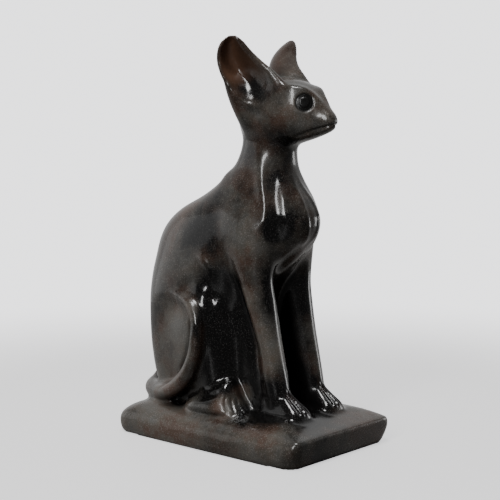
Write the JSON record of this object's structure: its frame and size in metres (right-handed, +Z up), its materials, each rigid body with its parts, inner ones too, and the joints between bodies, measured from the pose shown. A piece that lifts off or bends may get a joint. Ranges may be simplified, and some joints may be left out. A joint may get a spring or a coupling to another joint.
{
  "type": "cat figurine",
  "caption": "Seated cat with tall open ears, its tail wrapped round the right haunch, carved with its low oblong plinth from one block of dark polished stone.",
  "frame": {"origin": "centre of the plinth's flat underside", "axes": "+Z up, the cat faces -Y, and its right side is -X"},
  "size_m": [0.0599, 0.0915, 0.1497],
  "materials": {
    "obsidian": "polished"
  },
  "bodies": {
    "root": {"obsidian_cat": "obsidian"}
  },
  "joints": []
}
